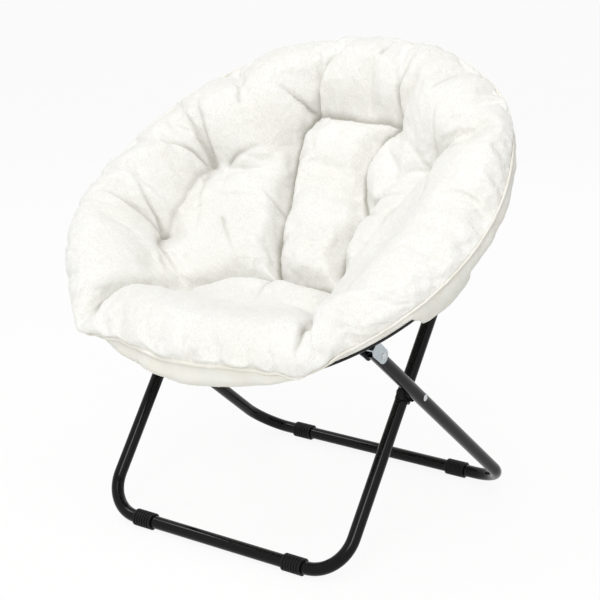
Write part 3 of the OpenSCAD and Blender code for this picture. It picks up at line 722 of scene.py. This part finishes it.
def swept_ring(name, angles, sections, closed):
    """Mesh ring with a section of (radius, height) points at each angle round the hoop."""
    sections = np.array(sections)
    count, corners = sections.shape[:2]
    radius, up = sections[:, :, 0], sections[:, :, 1]
    turn = angles[:, None]
    verts = hoop_point(radius * np.cos(turn), radius * np.sin(turn), up).reshape(-1, 3)
    strips = corners if closed else corners - 1
    faces = [(i * corners + j, (i + 1) % count * corners + j,
              (i + 1) % count * corners + (j + 1) % corners, i * corners + (j + 1) % corners)
             for i in range(count) for j in range(strips)]
    mesh = bpy.data.meshes.new(name)
    mesh.from_pydata(verts.tolist(), [], faces)
    obj = bpy.data.objects.new(name, mesh)
    bpy.context.collection.objects.link(obj)
    return obj


def outward(obj):
    """Merges doubles and turns the faces outwards."""
    choose(obj)
    bpy.ops.object.mode_set(mode="EDIT")
    bpy.ops.mesh.select_all(action="SELECT")
    bpy.ops.mesh.remove_doubles(threshold=1e-6)
    bpy.ops.mesh.normals_make_consistent(inside=False)
    bpy.ops.object.mode_set(mode="OBJECT")


# The edge band: how far down its lower edge reaches, in millimetres, by degrees to each side of the
# front's middle. It clears the front brackets, covers the hinges with a tab and clears the back brackets.
BAND_FOOT = [(0, -13), (29, -11), (36, 1.5), (40, 4.5), (60, 4.5), (61, -8), (62.3, -19), (64, -22),
             (70, -25.5), (75, -22), (79, -15), (90, -13), (133, -13), (139, -9), (147, -9), (151, -12),
             (180, -13)]
# At the left of the front the edge is drawn up
DRAWN_UP = [(-34, 0), (-24, 8), (-14, 8), (0, 0)]
# A foot lower than this hangs straight, and a higher one turns in under the tube
STRAIGHT_FOOT = -15.5 * MM
BAND_STATIONS = 720
BAND_ROWS = 14
# Gap from the tube to the band's outer face, and how far inside the seam the band starts
BAND_GAP = 1.6 * MM
BAND_INSIDE_SEAM = 1 * MM
# The cloth's belly over the tube, how much waves change it, and the fine ripples in it
BAND_BELLY = 4.5 * MM
BELLY_CHANGE_SHARE = 0.9
BAND_RIPPLE = 1.2 * MM
# Shares of the band's height from the seam: where it has come out to the tube, and where its belly ends
OUT_SHARE = 0.55
BELLY_END_SHARE = 1 / 1.05


class CHAIR_OT_edge_band(bpy.types.Operator):
    """Make the flat cloth band that runs round the edge, from the seam to below the tube"""
    bl_idname = "chair.edge_band"
    bl_label = "Edge band"

    def execute(self, context):
        deselect()
        angles = ring_angles(BAND_STATIONS)
        around = from_front_degrees(angles)
        foot = smooth_between(around, DRAWN_UP)[0] * MM + smooth_between(np.abs(around), BAND_FOOT)[0] * MM
        sections = [self.section(*station) for station in zip(angles, *seam_at(angles), foot)]
        obj = swept_ring("edge_band", angles, sections, closed=False)
        outward(obj)
        apply_modifier(obj, "SOLIDIFY", thickness=sizes().cloth_t, offset=-1)
        put_on(obj, woven_cover("flat-woven cover cloth", colours().cover))
        bpy.ops.object.shade_smooth()
        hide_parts("back_cover_band", "front_cover_band")
        ride_over_hinge(obj)
        return {"FINISHED"}

    def section(self, angle, seam_r, seam_up, foot):
        """Points (radius, height) from the seam down to the foot, bellied out over the tube."""
        wave = ring_noise(angle, waves=9, layer=0.3)
        fine = ring_noise(angle, waves=34, layer=2.3)
        points = []
        for k in range(BAND_ROWS + 1):
            share = k / BAND_ROWS
            up = seam_up + (foot - seam_up) * share
            wall = self.wall(up, foot)
            straight = (seam_r - BAND_INSIDE_SEAM) * (1 - share) + wall * share
            reached = min(1.0, share / OUT_SHARE)
            radius = straight + max(0.0, wall - straight) * reached * reached * (3 - 2 * reached)
            belly = math.sin(math.pi * min(1, share / BELLY_END_SHARE)) * (1 + BELLY_CHANGE_SHARE * wave)
            ripple = fine * share * (1 - share) * 4
            points.append((radius + BAND_BELLY * belly + BAND_RIPPLE * ripple, up))
        return points

    def wall(self, up, foot):
        """Radius at which the cloth lies against the tube."""
        around_tube = TUBE_R + BAND_GAP
        if up >= 0 or foot <= STRAIGHT_FOOT:
            return HOOP_R + around_tube
        below = min(1.0, -up / around_tube)
        return HOOP_R + around_tube * math.sqrt(1 - below * below)


PIPING_STATIONS = 900
PIPING_SIDES = 12
# At the front the piping is thicker and waves, as the seam is loose there: degrees to each side, share
LOOSE_SEAM = [(0, 1), (26, 0.8), (44, 0)]
LOOSE_THICKER_SHARE = 0.75
# How far outside and below the seam its middle lies, and how far it waves when tight, and more when loose
PIPING_OUTSIDE = 1.6 * MM
PIPING_BELOW = 0.6 * MM
PIPING_WAVE = 0.9 * MM
PIPING_WAVE_LOOSE = 2.2 * MM


class CHAIR_OT_edge_piping(bpy.types.Operator):
    """Make the piping sewn into the edge seam"""
    bl_idname = "chair.edge_piping"
    bl_label = "Edge piping"

    def execute(self, context):
        deselect()
        angles = ring_angles(PIPING_STATIONS)
        loose = smooth_between(np.abs(from_front_degrees(angles)), LOOSE_SEAM)[0]
        sections = [self.section(*station) for station in zip(angles, *seam_at(angles), loose)]
        obj = swept_ring("edge_piping", angles, sections, closed=True)
        outward(obj)
        put_on(obj, woven_cover("piping cloth", "#F0EEE6"))
        bpy.ops.object.shade_smooth()
        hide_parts("back_edge_piping", "front_edge_piping")
        ride_over_hinge(obj)
        return {"FINISHED"}

    def section(self, angle, seam_r, seam_up, loose):
        """Round section as points (radius, height)."""
        wave = ring_noise(angle, waves=22, layer=5) * (PIPING_WAVE + PIPING_WAVE_LOOSE * loose)
        r = sizes().piping_d / 2 * (1 + LOOSE_THICKER_SHARE * loose)
        middle_r, middle_up = seam_r + PIPING_OUTSIDE, seam_up - PIPING_BELOW + wave
        return [(middle_r + r * math.cos(turn), middle_up + r * math.sin(turn))
                for turn in ring_angles(PIPING_SIDES)]


UNDERSIDE_CELLS = 72
# Gap from the tube to the underside's rim, the rim's height and the bowl's depth under it
UNDERSIDE_GAP = 3.5 * MM
UNDERSIDE_RIM = -4.2 * MM
UNDERSIDE_DEPTH = 160.5 * MM
# Wrinkles in the bowl, and the gathers where the cloth is sewn to the rim
WRINKLE_DEPTH = 3 * MM
WRINKLES = 14
GATHER_DEPTH = 0.8 * MM
GATHERS = 46
# From this share of the radius outwards the cloth is gathered
GATHER_SHARE = 0.8


class CHAIR_OT_seat_underside(bpy.types.Operator):
    """Make the cloth bowl under the cushion, sewn inside the tube"""
    bl_idname = "chair.seat_underside"
    bl_label = "Seat underside"

    def execute(self, context):
        deselect()
        obj, share, angle = round_grid(UNDERSIDE_CELLS)
        obj.name = "seat_underside"
        radius = share * (HOOP_R - TUBE_R - UNDERSIDE_GAP)
        wrinkle = np.array([ring_noise(a, waves=r * WRINKLES, layer=1.7) for r, a in zip(radius, angle)])
        near_rim = np.clip((share - GATHER_SHARE) / (1 - GATHER_SHARE), 0, 1)
        gather = np.sin(angle * GATHERS + 3 * np.sin(angle * 5)) * near_rim ** 2
        up = UNDERSIDE_RIM - UNDERSIDE_DEPTH * (1 - share ** 2)
        up -= np.abs(wrinkle) * WRINKLE_DEPTH * (1 - share)
        up -= (1 + gather) * GATHER_DEPTH * (share < RIM_SHARE)
        set_positions(obj, hoop_point(radius * np.cos(angle), radius * np.sin(angle), up))
        apply_modifier(obj, "SUBSURF", levels=1, render_levels=1)
        apply_modifier(obj, "SOLIDIFY", thickness=sizes().cloth_t, offset=1)
        put_on(obj, woven_cover("underside cloth", "#E6E3DA"))
        bpy.ops.object.shade_smooth()
        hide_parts("back_cover_underside", "front_cover_underside")
        ride_over_hinge(obj)
        return {"FINISHED"}


class CHAIR_OT_frame_finish(bpy.types.Operator):
    """Give the frame's tubes, sleeves, brackets and rivets their finishes"""
    bl_idname = "chair.frame_finish"
    bl_label = "Frame finishes"

    def execute(self, context):
        coat = powder_coat()
        # The first word that is in a node's name gives its finish
        finishes = (("sleeve", moulded_black("ribbed black vinyl", "#09090A", 0.42, 0.6, grain=1.11)),
                    ("spacer", moulded_black("moulded black nylon", "#0A0A0B", 0.35, 0.5, grain=0.833)),
                    ("rivet", rivet_steel()), ("bracket", zinc_plate()), ("tube", coat), ("hinge_ear", coat))
        for name, obj in frame["nodes"].items():
            for word, finish in finishes:
                if word in name:
                    put_on(obj, finish)
                    break
        return {"FINISHED"}


# Lamps: name, place, size, power
LAMPS = [("front", (1.2, -2.9, 2.3), 1.2, 38), ("top", (0.4, -0.9, 3.1), 1.8, 23),
         ("left", (-1.9, -0.6, 2.9), 0.6, 11), ("fill", (2.8, -1.2, 1.4), 1.8, 3),
         ("back", (-0.8, 2.6, 1.7), 1.6, 6)]
LAMPS_AIM = Vector((0, 0, 0.4))
# The studio is white where it is seen, and gives less light than that
STUDIO_LIGHT = 0.59
FLOOR_SIZE = 60
FLOOR_BELOW = 0.5 * MM
# How far the floor shows white, which leaves the chair's shadow on it
FLOOR_WHITE_SHARE = 0.9
# The photograph's view, in degrees: round from the front, above, and slightly turned
VIEW = (34.869, 16.126, -0.184)
VIEW_TARGET = Vector((0.02821, -0.00845, 0.38632))
VIEW_DISTANCE = 2.61495
FOCAL_PIXELS = 1555.96
PICTURE_PIXELS = 600
SENSOR_MM = 36


def seen_directly(tree):
    """1 for rays from the camera, from a mirror or through glass, and 0 for light on the object."""
    rays = add_node(tree, "LightPath").outputs
    seen = rays["Is Camera Ray"]
    for ray in ("Is Glossy Ray", "Is Transmission Ray"):
        seen = add_node(tree, "Math", {"operation": "MAXIMUM"}, i0=seen, i1=rays[ray]).outputs[0]
    return seen


class CHAIR_OT_stage(bpy.types.Operator):
    """Set the floor, the lights and the camera"""
    bl_idname = "chair.stage"
    bl_label = "Stage"

    def execute(self, context):
        self.floor()
        self.studio(context)
        for name, place, size, power in LAMPS:
            bpy.ops.object.light_add(type="AREA", location=place)
            lamp = bpy.context.object
            lamp.name = name
            lamp.data.size = size
            lamp.data.energy = power
            lamp.rotation_euler = (LAMPS_AIM - lamp.location).to_track_quat("-Z", "Y").to_euler()
        self.camera(context)
        context.scene.view_settings.view_transform = "Standard"
        return {"FINISHED"}

    def floor(self):
        """Pale matt studio floor, slightly uneven in tone."""
        deselect()
        bpy.ops.mesh.primitive_plane_add(size=FLOOR_SIZE)
        floor = bpy.context.object
        floor.name = "floor"
        floor.location.z = -FLOOR_BELOW
        finish, tree, shader, place = new_finish("pale studio floor")
        speck = add_node(tree, "TexNoise", Vector=place, Scale=3.0).outputs["Fac"]
        tone = add_node(tree, "ValToRGB", stops=[(0.3, "#F4F4F2"), (0.7, "#F8F8F6")], Fac=speck)
        fill(tree, shader, Base_Color=tone.outputs["Color"], Roughness=0.9)
        part = add_node(
            tree, "Math", {"operation": "MULTIPLY"}, i0=seen_directly(tree), i1=FLOOR_WHITE_SHARE)
        white = add_node(tree, "Emission", Color=linear("#FFFFFF"), Strength=1.0)
        mixed = add_node(tree, "MixShader", i0=part.outputs[0], i1=shader.outputs[0], i2=white.outputs[0])
        fill(tree, tree.nodes["Material Output"], Surface=mixed.outputs[0])
        put_on(floor, finish)

    def studio(self, context):
        """White surroundings that light the chair evenly."""
        world = bpy.data.worlds.new("studio")
        context.scene.world = world
        world.use_nodes = True
        tree = world.node_tree
        strength = add_node(tree, "MapRange", Value=seen_directly(tree), i3=STUDIO_LIGHT, i4=1.0)
        fill(tree, tree.nodes["Background"], Strength=strength.outputs["Result"], Color=linear("#FFFFFF"))

    def camera(self, context):
        """The camera that took the photograph."""
        around, above, roll = (math.radians(v) for v in VIEW)
        right = Vector((math.cos(around), math.sin(around), 0))
        level = Vector((math.sin(around), -math.cos(around), 0))
        back = level * math.cos(above) + Vector((0, 0, math.sin(above)))
        up = back.cross(right)
        turned_right = right * math.cos(roll) + up * math.sin(roll)
        turned_up = up * math.cos(roll) - right * math.sin(roll)
        data = bpy.data.cameras.new("camera")
        obj = bpy.data.objects.new("camera", data)
        context.collection.objects.link(obj)
        axes = Matrix((turned_right, turned_up, back)).transposed()
        obj.matrix_world = Matrix.Translation(VIEW_TARGET + back * VIEW_DISTANCE) @ axes.to_4x4()
        data.sensor_width = SENSOR_MM
        data.lens = FOCAL_PIXELS * SENSOR_MM / PICTURE_PIXELS
        data.clip_end = 100
        context.scene.camera = obj


class CHAIR_PT_panel(bpy.types.Panel):
    """Lists the chair's sizes, colours and pieces"""
    bl_idname = "CHAIR_PT_panel"
    bl_label = "Folding saucer chair"
    bl_space_type = "VIEW_3D"
    bl_region_type = "UI"
    bl_category = "Chair"

    def draw(self, context):
        for group in (context.scene.chair_sizes, context.scene.chair_colours):
            for name in group.__annotations__:
                self.layout.prop(group, name)
        for step in STEPS:
            self.layout.operator(step.bl_idname)


STEPS = (CHAIR_OT_stage, CHAIR_OT_frame_finish, CHAIR_OT_seat_cushion, CHAIR_OT_edge_band,
         CHAIR_OT_edge_piping, CHAIR_OT_seat_underside)
CLASSES = (ChairSizes, ChairColours) + STEPS + (CHAIR_PT_panel,)


def register():
    for c in CLASSES:
        bpy.utils.register_class(c)
    bpy.types.Scene.chair_sizes = bpy.props.PointerProperty(type=ChairSizes)
    bpy.types.Scene.chair_colours = bpy.props.PointerProperty(type=ChairColours)


def unregister():
    del bpy.types.Scene.chair_sizes
    del bpy.types.Scene.chair_colours
    for c in reversed(CLASSES):
        bpy.utils.unregister_class(c)


def main():
    register()
    bpy.ops.chair.stage()
    bpy.ops.chair.frame_finish()
    bpy.ops.chair.seat_cushion()
    bpy.ops.chair.edge_band()
    bpy.ops.chair.edge_piping()
    bpy.ops.chair.seat_underside()


if __name__ == "__main__":
    main()
